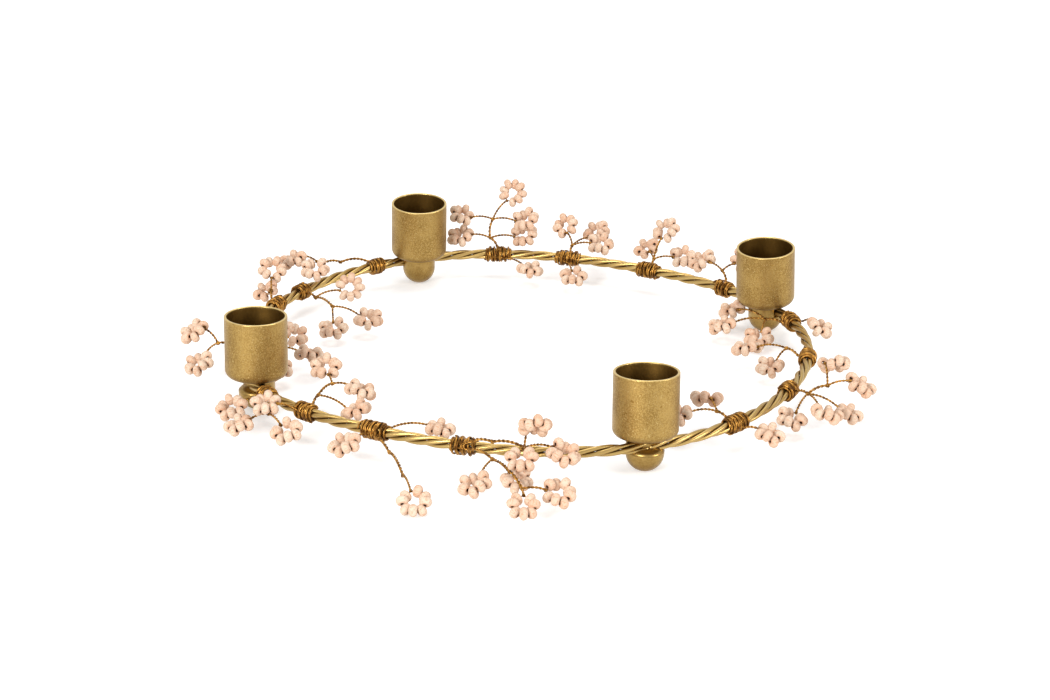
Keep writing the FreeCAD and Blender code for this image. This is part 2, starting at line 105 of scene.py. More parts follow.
# Radii and heights of the braze between foot and cup, which the ring's wires stand out of
CUP_AND_FOOT = 38.8
BRAZE_OUTLINE = (
    (7.3, 7.5), (7.24, 7.9), (7.05, 8.3), (6.7, 8.7), (6.2, 9.1), (5.5, 9.5), (4.7, 9.85), (4.2, 10.3),
    (4.0, 10.9), (4.0, 11.6), (4.3, 12.3), (4.9, 12.9), (5.8, 13.35), (6.7, 13.7), (6.8, 13.78),
)
BRAZE_UNEVEN_SHARE = 0.012
BRAZE_SIDES = 48
# The cup's bore and its height, which bound the painted shade inside the bore and low down on the cup
CUP_BORE_RADIUS = 11.5
CUP_HEIGHT = 25
# Radius of the solids' circle of beads, by the number of beads in the loop
SOLID_STRING_RADII = {6: 3.98, 7: 4.47, 8: 4.96}
CUP_MOUTH_ABOVE_BORE = 11.3

# Twigs: place round the ring as a share of a turn, turns of the binding, forks and loops.
# A fork is (name, where it comes from, along, outward, up), the last three as shares
# of the twig's reach, measured from the middle of the binding.
# A loop is (where it comes from, along, outward, up, lean along, lean outward, beads).
TWIG_SHARES = [
    (0.586, 7,
     [("low", "knot", 0.60, 0.36, 0.02)],
     [("knot", -0.04, 0.52, -0.06, 0.2, 0.4, 8), ("low", 0.44, 0.70, -0.10, -0.2, 0.3, 7),
      ("low", 1.08, 0.38, -0.06, 0.15, 0.4, 8)]),
    (0.619, 8,
     [("inner", "knot", -0.12, -0.34, 0.10), ("far", "inner", -0.20, -0.68, 0.14)],
     [("far", 0.16, -0.84, 0.10, 0.2, -0.3, 8), ("inner", 0.46, -0.44, 0.02, -0.2, 0.2, 7),
      ("far", -0.56, -0.92, 0.22, 0.25, 0.35, 8), ("knot", -0.34, 0.38, 0.14, 0.2, 0.3, 7)]),
    (0.666, 11,
     [("low", "knot", 0.46, 0.40, -0.06), ("mid", "low", 0.94, 0.86, -0.10)],
     [("knot", -0.16, 0.46, -0.05, -0.2, 0.3, 8), ("knot", 0.72, -0.38, 0.04, 0.2, -0.2, 7),
      ("mid", 1.38, 1.32, -0.17, 0.3, 0.6, 8)]),
    (0.718, 9,
     [("top", "knot", 0.44, 0.20, 0.19), ("high", "top", 0.86, 0.24, 0.18),
      ("front", "knot", 0.52, 0.44, 0.06), ("low", "front", 1.06, 0.96, -0.04)],
     [("high", 0.98, 0.20, 0.46, -0.3, -0.8, 8), ("high", 1.38, 0.30, 0.20, 0.4, 0.2, 8),
      ("high", 0.94, 0.62, 0.20, 0.1, 0.6, 7), ("front", 0.44, 0.92, -0.08, -0.3, 0.3, 8),
      ("front", 0.90, 0.68, -0.06, 0.2, 0.3, 7), ("low", 1.48, 0.84, -0.08, 0.3, 0.4, 8),
      ("low", 1.18, 1.30, -0.10, 0.3, 0.6, 7)]),
    (0.866, 10,
     [("inner", "knot", 0.00, -0.30, 0.08)],
     [("inner", 0.22, -0.66, 0.09, 0.35, -0.25, 8), ("inner", -0.34, -0.62, 0.04, -0.3, -0.1, 6),
      ("knot", 0.18, 0.42, -0.08, 0.15, 0.35, 7)]),
    (0.922, 8,
     [("side", "knot", -0.18, 0.34, 0.08), ("tip", "side", 0.06, 0.52, 0.14)],
     [("tip", 0.30, 0.52, 0.36, 0.5, -0.3, 8), ("tip", 0.32, 0.88, 0.12, 0.2, 0.5, 8),
      ("side", -0.66, 0.30, -0.10, -0.2, 0.3, 7), ("side", -0.60, 0.74, 0.02, 0.3, 0.2, 8),
      ("side", -0.12, 0.88, -0.12, 0.2, 0.4, 7)]),
    (0.974, 8,
     [("inner", "knot", 0.20, -0.30, 0.06)],
     [("inner", 0.39, -0.86, -0.04, 0.2, -0.2, 8), ("inner", -0.06, -0.50, -0.12, -0.3, -0.2, 7)]),
    (0.036, 8,
     [("inner", "knot", 0.22, -0.30, -0.02)],
     [("inner", 0.86, -0.58, -0.06, 0.2, -0.3, 7), ("inner", 0.40, -0.88, -0.11, 0.1, -0.2, 8),
      ("inner", -0.10, -0.52, -0.16, -0.2, -0.1, 8), ("knot", -0.44, 0.26, 0.04, -0.4, 0.5, 7)]),
    (0.105, 8,
     [("over", "knot", 0.18, 0.16, 0.20)],
     [("over", 0.02, 0.44, 0.34, -0.5, -0.6, 7), ("over", 0.62, 0.20, 0.24, 0.3, -0.5, 8)]),
    (0.163, 10,
     [("over", "knot", 0.02, 0.20, 0.12)],
     [("over", 0.32, 0.50, 0.16, 0.3, -0.4, 7), ("over", -0.30, 0.54, 0.12, -0.3, -0.3, 8),
      ("over", 0.00, 0.52, 0.50, 0.1, -0.9, 8)]),
    (0.219, 10,
     [("over", "knot", 0.00, 0.20, 0.14)],
     [("knot", -0.24, -0.48, -0.11, -0.1, -0.2, 8), ("over", 0.14, 0.30, 0.42, 0.2, -0.9, 7),
      ("over", -0.42, 0.32, 0.18, -0.2, -0.4, 8), ("over", -0.24, 0.70, 0.24, 0.3, -0.5, 8)]),
    (0.263, 11,
     [("low", "knot", 0.12, 0.06, 0.24), ("high", "low", 0.08, 0.04, 0.55)],
     [("high", -0.22, 0.30, 0.90, 0.2, -1.8, 8), ("high", 0.56, 0.16, 0.58, -0.3, -0.4, 7),
      ("low", 0.58, 0.10, 0.26, 0.2, -0.3, 8), ("high", -0.42, 0.06, 0.54, 0.3, -0.5, 8),
      ("low", -0.40, 0.12, 0.28, 0.3, -0.7, 8), ("knot", -0.50, -0.48, -0.08, -0.2, -0.1, 7)]),
    (0.341, 7,
     [("behind", "knot", 0.52, 0.18, 0.12), ("end", "behind", 0.94, 0.10, 0.18)],
     [("end", 1.30, 0.26, 0.30, 0.3, 0.2, 8), ("end", 1.24, -0.22, 0.26, 0.3, -0.4, 8)]),
    (0.405, 7,
     [("inner", "knot", 0.16, -0.36, 0.02), ("mid", "inner", 0.36, -0.80, 0.02)],
     [("inner", -0.24, -0.70, 0.12, 1.4, -0.9, 8), ("mid", 0.30, -1.38, -0.08, 0.2, -0.2, 8),
      ("mid", 0.78, -1.10, -0.13, 0.2, -0.1, 8)]),
    (0.433, 8,
     [("over", "knot", -0.14, 0.16, 0.16)],
     [("over", -0.54, 0.36, 0.34, 0.6, -0.6, 8), ("over", -0.50, 0.46, 0.00, 0.4, 0.4, 7)]),
    (0.506, 8,
     [("outer", "knot", 0.10, 0.24, 0.08), ("inner", "knot", 0.14, -0.44, 0.02)],
     [("outer", 0.12, 0.56, 0.26, 0.2, 0.6, 8), ("outer", 0.52, 0.46, -0.06, 0.3, 0.4, 8),
      ("inner", -0.16, -0.80, 0.12, 0.5, -0.5, 7), ("inner", 0.26, -1.04, -0.01, -0.2, -0.2, 8),
      ("inner", 0.60, -0.64, -0.12, 0.2, 0.2, 7)]),
]

# The camera's frame is taken to be 1050 by 700 pixels
FRAME_WIDTH = 1050
FOCAL_PIXELS = 2390
SENSOR_WIDTH = 36
CAMERA_PLACE = (-11.9, -935.3, 351.0)
CAMERA_PITCH = 20.51
CAMERA_SHIFT = (31.5 / FRAME_WIDTH, 13.5 / FRAME_WIDTH)

# Lamps: name, place and width in metres, power in watts
LAMPS = (
    ("key_softbox", (-0.70, -1.20, 0.5), 0.42, 16.0),
    ("side_softbox", (1.2, -0.55, 0.45), 0.4, 8.0),
    ("top_softbox", (0.1, 0.4, 1.5), 0.9, 9.0),
)
AMBIENT_LEVEL = 0.47
FLOOR_LIFT = 0.38
FLOOR_RADIUS = 4


def from_screen(red, green, blue):
    """A colour told by its values on a screen, from 0 to 255, as Blender's linear colour."""
    channels = []
    for value in (red, green, blue):
        share = value / 255
        channels.append(share / 12.92 if share <= 0.04045 else ((share + 0.055) / 1.055) ** 2.4)
    return (*channels, 1.0)


def length_property(name, about, default):
    return bpy.props.FloatProperty(
        name=name, description=about, default=default * METRE, min=0, unit="LENGTH"
    )


def colour_property(name, about, default):
    return bpy.props.FloatVectorProperty(
        name=name, description=about, default=default, size=4, min=0, max=1, subtype="COLOR"
    )


class CandleRingSizes(bpy.types.PropertyGroup):
    """Sizes of the wires and the beads."""

    strand_diameter: length_property("Ring wire", "Thickness of each of the ring's four wires", 1.75)
    binding_diameter: length_property("Binding wire", "Thickness of the wire wound round the ring", 0.8)
    stem_wire: length_property("Stem wire", "Thickness of the wires twisted into a twig's main stems", 0.62)
    branch_wire: length_property("Branch wire", "Thickness of the wires twisted into a twig's branches", 0.5)
    loop_wire: length_property("Loop wire", "Thickness of the wire that the beads are threaded on", 0.4)
    bead_diameter: length_property("Bead diameter", "Width of a bead across its hole's axis", 5.0)
    bead_length: length_property("Bead length", "Length of a bead along its hole", 3.2)
    bead_hole: length_property("Bead hole", "Width of a bead's hole", 1.15)


class CandleRingColours(bpy.types.PropertyGroup):
    """Colours of the metals and the wood."""

    cup: colour_property("Cup", "Satin brass of the cups", from_screen(168, 138, 80))
    # Darker patches of the cups and feet, also used for the painted shade low down on them
    cup_patches_and_shade: colour_property("Cup shade", "Darker patches of the cups", from_screen(120, 90, 42))
    # Painted shade inside the cups' bores; the same colour darkens the small pits
    bore_shade_and_pits: colour_property("Cup inside", "Tarnish inside the cups", from_screen(126, 94, 42))
    # Painted highlight on the cups' rims; the same colour makes the bright speckles
    rim: colour_property("Rim", "Polished edge of the cups", from_screen(222, 194, 128))
    foot: colour_property("Foot", "Satin brass of the feet", from_screen(166, 137, 80))
    rope: colour_property("Ring wire", "Bright brass of the ring", from_screen(182, 153, 95))
    # Painted shade in the gaps between the ring's wires
    rope_gap_shade: colour_property("Ring gaps", "Tarnish between the ring's wires", from_screen(120, 88, 42))
    wire: colour_property("Thin wire", "Copper tone of the thin wires", from_screen(176, 128, 60))
    wire_dark: colour_property("Thin wire shade", "Dark places of the thin wires", from_screen(92, 58, 24))
    bead: colour_property("Bead", "Pale peach wood", from_screen(226, 203, 180))
    bead_warm: colour_property("Bead, warm", "The pinker beads", from_screen(220, 184, 156))
    # Grain in the wood; the same colour paints the shade round each bead's hole, where the beads meet
    bead_grain_and_shade: colour_property("Bead streak", "Grain in the wood", from_screen(196, 138, 96))
    # Painted shade inside a bead's hole
    bead_hole: colour_property("Bead hole", "Inside of a bead's hole", from_screen(72, 38, 24))
    floor: colour_property("Floor", "Plain floor", (0.9, 0.9, 0.9, 1.0))


# Shader maths


class Value:
    """A node's output. Sums and products of it add the Math nodes that they need."""

    def __init__(self, finish, socket):
        self.finish = finish
        self.socket = socket

    def __add__(self, other):
        return self.finish.maths("ADD", self, other)

    __radd__ = __add__

    def __sub__(self, other):
        return self.finish.maths("SUBTRACT", self, other)

    def __rsub__(self, other):
        return self.finish.maths("SUBTRACT", other, self)

    def __mul__(self, other):
        return self.finish.maths("MULTIPLY", self, other)

    __rmul__ = __mul__


class Finish:
    """A node tree that a material or the world is made of."""

    def __init__(self, tree):
        self.tree = tree
        tree.nodes.clear()

    def node(self, kind, settings=None, sockets=None, output=0):
        made = self.tree.nodes.new(kind)
        for name, value in (settings or {}).items():
            setattr(made, name, value)
        for name, value in (sockets or {}).items():
            if isinstance(value, Value):
                self.tree.links.new(value.socket, made.inputs[name])
            else:
                made.inputs[name].default_value = value
        if made.outputs:
            return Value(self, made.outputs[output])
        return made

    def maths(self, operation, *values):
        return self.node("ShaderNodeMath", {"operation": operation}, dict(enumerate(values)))

    def vector(self, operation, *values, output=0):
        return self.node("ShaderNodeVectorMath", {"operation": operation}, dict(enumerate(values)), output)

    def mix(self, factor, first, second):
        return self.node("ShaderNodeMix", {"data_type": "RGBA"}, {0: factor, 6: first, 7: second}, 2)

    def ramp(self, value, low, high):
        """0 below low and 1 above high, with a smooth change between them."""
        return self.node(
            "ShaderNodeMapRange",
            {"interpolation_type": "SMOOTHSTEP"},
            {"Value": value, "From Min": low, "From Max": high},
        )

    def noise(self, where, scale, detail=2.0):
        return self.node("ShaderNodeTexNoise", None, {"Vector": where, "Scale": scale, "Detail": detail})

    def place(self):
        return self.node("ShaderNodeTexCoord", output="Object")

    def mark(self, name, output="Fac"):
        return self.node("ShaderNodeAttribute", {"attribute_name": name}, output=output)

    def bump(self, height, depth):
        """A normal from a height between 0 and 1, whose depth is in millimetres."""
        return self.node("ShaderNodeBump", None, {"Height": height, "Distance": depth * METRE})

    def surface(self, **sockets):
        names = {"colour": "Base Color", "roughness": "Roughness", "metallic": "Metallic", "normal": "Normal"}
        shader = self.node("ShaderNodeBsdfPrincipled", None, {names[key]: sockets[key] for key in sockets})
        self.node("ShaderNodeOutputMaterial", None, {"Surface": shader})


def new_material(name):
    material = bpy.data.materials.new(name)
    material.use_nodes = True
    return material, Finish(material.node_tree)


def cup_material(name, mouth, axis, colours):
    """Satin brass with small pits, painted shade inside the bore and low down, and a painted highlight on the
    polished rim.
    """
    material, make = new_material(name)
    where = make.place()
    reach = make.vector("SUBTRACT", where, tuple(mouth))
    depth = make.vector("DOT_PRODUCT", reach, tuple(axis), output=1)
    from_axis = make.vector("LENGTH", make.vector("CROSS_PRODUCT", reach, tuple(axis)), output=1)
    within = 1 - make.ramp(from_axis, (CUP_BORE_RADIUS + 0.05) * METRE, (CUP_BORE_RADIUS + 0.35) * METRE)
    inside = within * (1 - make.ramp(depth, -1.2 * METRE, -0.2 * METRE))
    # The top edge of the rim, which gets a painted highlight
    rim = make.ramp(depth, -0.34 * METRE, -0.1 * METRE)
    cloud = make.noise(where, 90.0, 4.0)
    speckle = make.noise(where, 1450.0, 3.0)
    pits = make.ramp(make.noise(where, 560.0, 1.0), 0.71, 0.77)
    patches = make.ramp(cloud * 0.3 + speckle * 0.7, 0.40, 0.60)
    colour = make.mix(patches * 0.8, colours.cup, colours.cup_patches_and_shade)
    colour = make.mix(make.ramp(speckle, 0.56, 0.68) * 0.5, colour, colours.rim)
    # Painted shade on the cup's lowest few millimetres, where it sits on the braze
    low = 1 - make.ramp(depth, (0.4 - CUP_HEIGHT) * METRE, (3.5 - CUP_HEIGHT) * METRE)
    colour = make.mix(low * 0.45, colour, colours.cup_patches_and_shade)
    colour = make.mix(pits * 0.7, colour, colours.bore_shade_and_pits)
    # Painted shade inside the bore
    colour = make.mix(inside * 0.9, colour, colours.bore_shade_and_pits)
    # Painted highlight on the rim, which is also made less rough as a polished edge
    colour = make.mix(rim * 0.8, colour, colours.rim)
    make.surface(
        colour=colour,
        metallic=1.0,
        roughness=0.40 + patches * 0.08 - rim * 0.12,
        normal=make.bump(speckle - pits * 0.8, 0.016),
    )
    return material


def foot_material(colours):
    """The same brass as the cups, with painted shade low down, next to the floor."""
    material, make = new_material("foot_brass")
    where = make.place()
    height = make.node("ShaderNodeSeparateXYZ", None, {0: where}, 2)
    cloud = make.noise(where, 160.0, 4.0)
    speckle = make.noise(where, 1500.0, 3.0)
    patches = make.ramp(cloud * 0.6 + speckle * 0.4, 0.36, 0.66)
    # Painted shade on the foot's lowest few millimetres, next to the floor
    low = 1 - make.ramp(height, 0.5 * METRE, 4.5 * METRE)
    colour = make.mix(patches * 0.7, colours.foot, colours.cup_patches_and_shade)
    colour = make.mix(low * 0.4, colour, colours.cup_patches_and_shade)
    make.surface(
        colour=colour, metallic=1.0, roughness=0.28 + patches * 0.16, normal=make.bump(speckle, 0.02)
    )
    return material


def rope_material(colours):
    """Bright brass on the outer side of each wire, and painted shade where the wires meet."""
    material, make = new_material("ring_brass")
    where = make.place()
    cloud = make.noise(where, 140.0, 4.0)
    scratches = make.noise(where, 1800.0, 2.0)
    open_side = make.ramp(make.mark("open_side"), 0.55, 0.86)
    patches = make.ramp(cloud, 0.42, 0.72)
    # Painted shade towards the ring's middle, where the wires meet
    colour = make.mix(open_side, colours.rope_gap_shade, colours.rope)
    colour = make.mix(patches * 0.45, colour, colours.foot)
    make.surface(
        colour=colour,
        metallic=1.0,
        roughness=0.42 - open_side * 0.14 + scratches * 0.1,
        normal=make.bump(scratches, 0.02),
    )
    return material


def thin_wire_material(name, colours, colour_scale):
    """Copper-toned wire with dark places and a few bright ones."""
    material, make = new_material(name)
    where = make.place()
    patches = make.ramp(make.noise(where, colour_scale, 3.0), 0.36, 0.68)
    fine = make.noise(where, 2400.0, 2.0)
    colour = make.mix(patches, colours.wire, colours.wire_dark)
    colour = make.mix(make.ramp(fine, 0.60, 0.74) * 0.5, colour, colours.rope)
    make.surface(
        colour=colour, metallic=1.0, roughness=0.34 + patches * 0.16, normal=make.bump(fine, 0.015)
    )
    return material


def bead_material(colours):
    """Pale matt wood with streaks along each bead's hole, painted shade round the hole, and a hole painted
    dark as shade.
    """
    material, make = new_material("bead_wood")
    grain = make.mark("grain", "Vector")
    tone = make.mark("tone")
    hole = make.mark("hole")
    along = make.vector("MULTIPLY", grain, (1.6, 1.6, 0.35))
    streaks = make.noise(along, 1.4, 4.0)
    blotches = make.noise(grain, 0.45, 2.0)
    fine = make.noise(grain, 5.0, 2.0)
    colour = make.mix(tone, colours.bead, colours.bead_warm)
    colour = make.mix(make.ramp(streaks, 0.50, 0.64) * 0.58, colour, colours.bead_grain_and_shade)
    colour = make.mix(make.ramp(blotches, 0.52, 0.74) * 0.35, colour, colours.bead_grain_and_shade)
    # Painted shade round the hole, in the creases between strung beads
    colour = make.mix(make.ramp(make.mark("near_hole"), 0.3, 0.95) * 0.5, colour, colours.bead_grain_and_shade)
    # Painted shade inside the hole
    colour = make.mix(hole, colour, colours.bead_hole)
    make.surface(
        colour=colour,
        metallic=0.0,
        roughness=0.62 + streaks * 0.2,
        normal=make.bump(streaks * 0.7 + fine * 0.3, 0.05),
    )
    return material


# Lines in space


def unit(vector):
    return vector / np.linalg.norm(vector)


def ring_point(angle):
    """A point of the ring's centre line at an angle in radians."""
    wave = 1
    for count, share in SINE_WAVE_SHARES.items():
        wave += share * math.sin(count * angle)
    for count, share in COSINE_WAVE_SHARES.items():
        wave += share * math.cos(count * angle)
    radius = RING_RADIUS * wave
    return np.array((radius * math.cos(angle), radius * math.sin(angle), ring_height()))


def strand_radius():
    return bpy.context.scene.candle_ring_sizes.strand_diameter / METRE / 2


def strand_orbit():
    return (2 * strand_radius() + STRAND_GAP) / math.sqrt(2)


def rope_radius():
    return strand_orbit() + strand_radius()


def ring_height():
    return LEDGE_TOP + rope_radius()


def ring_frame(angle):
    """The centre line's point, its direction and its outward side."""
    step = 0.0001
    along = unit(ring_point(angle + step) - ring_point(angle - step))
    return ring_point(angle), along, np.array((along[1], -along[0], 0.0))


def around_rope(angle, orbit, turn):
    centre, along, outward = ring_frame(angle)
    return centre + outward * (orbit * math.cos(turn)) + UP * (orbit * math.sin(turn))


def resample(path, step):
    """The same line with points at even steps, and how far along it each point is."""
    gaps = np.linalg.norm(np.diff(path, axis=0), axis=1)
    travelled = np.concatenate(((0,), np.cumsum(gaps)))
    count = max(3, int(math.ceil(travelled[-1] / step)) + 1)
    even = np.linspace(0, travelled[-1], count)
    points = np.stack([np.interp(even, travelled, path[:, column]) for column in range(3)], axis=1)
    return points, even


def side_vectors(path, closed=False):
    """Two vectors square to a line at each of its points, which don't spin about it."""
    if closed:
        ways = np.roll(path, -1, axis=0) - np.roll(path, 1, axis=0)
    else:
        ways = np.gradient(path, axis=0)
    ways = ways / np.linalg.norm(ways, axis=1)[:, None]
    start = UP if abs(ways[0] @ UP) < 0.9 else np.array((1.0, 0.0, 0.0))
    first = []
    for way in ways:
        start = unit(start - way * (start @ way))
        first.append(start)
    first = np.array(first)
    return first, np.cross(ways, first)


def bow(start, end, steps=10):
    """A stem's line, which bows upward a little."""
    chord = end - start
    side = unit(UP - chord * ((UP @ chord) / (chord @ chord)))
    share = np.linspace(0, 1, steps + 1)[:, None]
    rise = np.linalg.norm(chord) * STEM_BULGE_SHARE
    return start + chord * share + side * (rise * 4 * share * (1 - share))


def bend(start, corner, end, steps=8):
    share = np.linspace(0, 1, steps + 1)[:, None]
    return start * (1 - share) ** 2 + corner * (2 * share * (1 - share)) + end * share ** 2


class Shape:
    """Points and faces that are gathered into one mesh."""

    def __init__(self):
        self.points = []
        self.faces = []
        self.marks = {}
        self.count = 0

    def add(self, points, faces, **marks):
        self.faces += [[index + self.count for index in face] for face in faces]
        self.points.append(points)
        self.count += len(points)
        for name, values in marks.items():
            self.marks.setdefault(name, []).append(values)

    def tube(self, path, radius, sides, closed=False):
        first, second = side_vectors(path, closed)
        turn = np.linspace(0, 2 * math.pi, sides, endpoint=False)[None, :, None]
        points = path[:, None] + (first[:, None] * np.cos(turn) + second[:, None] * np.sin(turn)) * radius
        count = len(path)
        faces = []
        for row in range(count if closed else count - 1):
            below = row * sides
            above = (row + 1) % count * sides
            for side in range(sides):
                beside = (side + 1) % sides
                faces.append((below + side, below + beside, above + beside, above + side))
        if not closed:
            faces.append(tuple(range(sides))[::-1])
            faces.append(tuple(range((count - 1) * sides, count * sides)))
        self.add(points.reshape(-1, 3), faces)

    def twisted(self, path, radius, pitch, spin):
        """Two wires twisted about each other along a line."""
        path, travelled = resample(path, pitch / 12)
        first, second = side_vectors(path)
        for index in range(2):
            turn = (2 * math.pi * (travelled / pitch + index / 2) + spin)[:, None]
            self.tube(path + (first * np.cos(turn) + second * np.sin(turn)) * radius, radius, THIN_SIDES)

    def wrapped(self, place, way, radius, wire_radius, turns, rng):
        """A few uneven turns of wire round a stem."""
        way = unit(way)
        first, second = side_vectors(np.array((place - way, place, place + way)))
        steps = int(turns * WRAP_STEPS)
        start = rng.uniform(0, 2 * math.pi)
        pitch = wire_radius * 1.95
        points = []
        for index in range(steps + 1):
            turn = 2 * math.pi * index / WRAP_STEPS
            swell = radius * (1 + 0.10 * math.sin(1.7 * turn + start))
            rise = pitch * (turn / (2 * math.pi) - turns / 2)
            side = first[1] * math.cos(turn + start) + second[1] * math.sin(turn + start)
            points.append(place + way * rise + side * swell)
        self.tube(np.array(points), wire_radius, WRAP_SIDES)

    def turned(self, foot, axis, outline, sides, rng):
        """A closed form turned about an axis, from radii and heights, a little uneven."""
        first, second = side_vectors(np.array((foot - axis, foot, foot + axis)))
        phase = rng.uniform(0, 2 * math.pi)
        points = []
        faces = []
        for radius, height in outline:
            for column in range(sides):
                turn = 2 * math.pi * column / sides
                uneven = radius * (1 + BRAZE_UNEVEN_SHARE * math.sin(3 * turn + phase + height))
                spoke = first[1] * math.cos(turn) + second[1] * math.sin(turn)
                points.append(foot + axis * height + spoke * uneven)
        for row in range(len(outline) - 1):
            for column in range(sides):
                beside = (column + 1) % sides
                below = row * sides
                above = below + sides
                faces.append((below + column, below + beside, above + beside, above + column))
        faces.append(tuple(range(sides))[::-1])
        faces.append(tuple(range((len(outline) - 1) * sides, len(outline) * sides)))
        self.add(np.array(points), faces)

    def piece(self, name, material, slot, *nodes):
        """The mesh as a piece of the object, which stands for nodes of the solid model."""
        mesh = bpy.data.meshes.new(name)
        mesh.from_pydata((np.concatenate(self.points) * METRE).tolist(), [], self.faces)
        mesh.polygons.foreach_set("use_smooth", [True] * len(mesh.polygons))
        for mark, values in self.marks.items():
            values = np.concatenate(values).astype(float)
            if values.ndim == 2:
                mesh.attributes.new(mark, "FLOAT_VECTOR", "POINT").data.foreach_set("vector", values.ravel())
            else:
                mesh.attributes.new(mark, "FLOAT", "POINT").data.foreach_set("value", values)
        mesh.materials.append(material)
        mesh.update()
        made = bpy.data.objects.new(name, mesh)
        bpy.context.scene.collection.objects.link(made)
        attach(made, "root")
        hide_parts(*nodes)
        return made


# The ring and its bindings


def strand_line(index):
    """One of the ring's four wires, whose ends meet on the ledge of a foot."""
    meeting = 2 * math.pi * STATION_SHARES[index % len(STATION_SHARES)]
    gap = STRAND_END_GAP / RING_RADIUS
    phase = 2 * math.pi * index / STRAND_COUNT
    angles = np.linspace(meeting + gap / 2, meeting + 2 * math.pi - gap / 2, TWIST_TURNS * TWIST_STEPS)
    return np.array([around_rope(angle, strand_orbit(), phase + TWIST_TURNS * angle) for angle in angles])


def open_side(points, centres):
    """How far a point of a ring wire is from the ring's middle, as a share of the whole."""
    return np.linalg.norm(points - centres, axis=1) / rope_radius()


def binding_lines(turn_share, turns, rng):
    """The wires of one binding: a close winding, then two looser ones that cross over it."""
    middle = 2 * math.pi * turn_share
    length = turns * BINDING_PITCH
    local = np.linalg.norm(ring_frame(middle)[0][:2])
    wire = bpy.context.scene.candle_ring_sizes.binding_diameter / METRE
    # Turns, hand, distance from the ring's line, and the part of the length to each side
    layers = (
        (length / (wire * 1.3), 1, rope_radius() + wire * 0.5, 0.5),
        (max(3, turns * 0.45), -1, rope_radius() + wire * 1.35, 0.42),
        (max(2, turns * 0.3), 1, rope_radius() + wire * 1.45, 0.36),
    )
    lines = []
    for count, hand, orbit, half_share in layers:
        waves = [(rng.uniform(0.4, 1.3), rng.uniform(0, 2 * math.pi)) for _ in range(BINDING_WAVES)]
        start = rng.uniform(0, 2 * math.pi)
        points = []
        steps = int(count * BINDING_STEPS)
        for step in range(steps + 1):
            share = step / steps
            turn = 2 * math.pi * count * share
            drift = sum(math.sin(rate * turn + phase) for rate, phase in waves) / BINDING_WAVES
            along = length * (2 * share - 1) * half_share + drift * wire * 0.7
            height = orbit + drift * wire * 0.12
            points.append(around_rope(middle + along / local, height, start + hand * turn))
        lines.append(np.array(points))
    return lines, wire / 2


# The twigs


def bead_sizes():
    sizes = bpy.context.scene.candle_ring_sizes
    return sizes.bead_diameter / METRE, sizes.bead_length / METRE, sizes.bead_hole / METRE


def bead_side():
    """Radius of a bead's rounded side, and how far its middle lies from the bead's axis."""
    diameter, length, hole = bead_sizes()
    shoulder = hole * 0.75
    rise = diameter / 2 - shoulder
    side = (length * length / 4 + rise * rise) / (2 * rise)
    return side, diameter / 2 - side


def string_radius(beads):
    """The solids' circle of beads, drawn in a little because bunched beads sit closer."""
    return SOLID_STRING_RADII[beads] * BUNCH_SHARE


def bead_form():
    """Points, faces and the mark of the hole of one bead about the Z axis."""
    diameter, length, hole = bead_sizes()
    side, offset = bead_side()
    widest = math.asin(length / 2 / side)
    outline = [
        (offset + side * math.cos(angle), side * math.sin(angle), 0.0)
        for angle in np.linspace(-widest, widest, BEAD_ROWS)
    ]
    half = length / 2
    # The third number of each row marks the hole's inside, which is painted dark as shade
    outline += [(hole * 0.60, half * 0.99, 0.35), (hole * 0.5, half * 0.9, 1.0), (hole * 0.48, 0.0, 1.0)]
    outline += [(hole * 0.5, -half * 0.9, 1.0), (hole * 0.60, -half * 0.99, 0.35)]
    sides = BEAD_SIDES
    turn = np.linspace(0, 2 * math.pi, sides, endpoint=False)
    points = [(r * math.cos(angle), r * math.sin(angle), z) for r, z, mark in outline for angle in turn]
    marks = np.repeat([mark for r, z, mark in outline], sides)
    faces = []
    for row in range(len(outline)):
        above = (row + 1) % len(outline)
        for column in range(sides):
            beside = (column + 1) % sides
            faces.append(
                (row * sides + column, row * sides + beside, above * sides + beside, above * sides + column)
            )
    points = np.array(points)
    near = 1 - (np.linalg.norm(points[:, :2], axis=1) - hole / 2) / (diameter / 2 - hole / 2)
    return points, faces, marks, near


def twig_point(place, shares):
    centre, along, outward = place
    return centre + TWIG_REACH * (along * shares[0] + outward * shares[1] + UP * shares[2])


def knot_towards(place, target):
    """Where a stem leaves its binding on the way to a point, and the line that it comes up on."""
    centre, along, outward = place
    way = target - centre
    part_along = way @ along
    side = unit(way - along * part_along)
    binding_radius = rope_radius() + BINDING_CLEARANCE + BINDING_WIRE
    knot_reach = binding_radius + BINDING_CLEARANCE + FORK_KNOT
    knot = centre + along * (part_along * KNOT_SPREAD_SHARE) + side * knot_reach
    hand = -1 if part_along > 0 else 1
    root = centre + side * (rope_radius() + STEM_ROOT_RISE) + along * (STEM_ROOT_REACH * hand)
    corner = centre + side * (rope_radius() + STEM_CORNER_RISE) + along * (part_along * KNOT_SPREAD_SHARE / 2)
    return knot, bend(root, corner, knot)


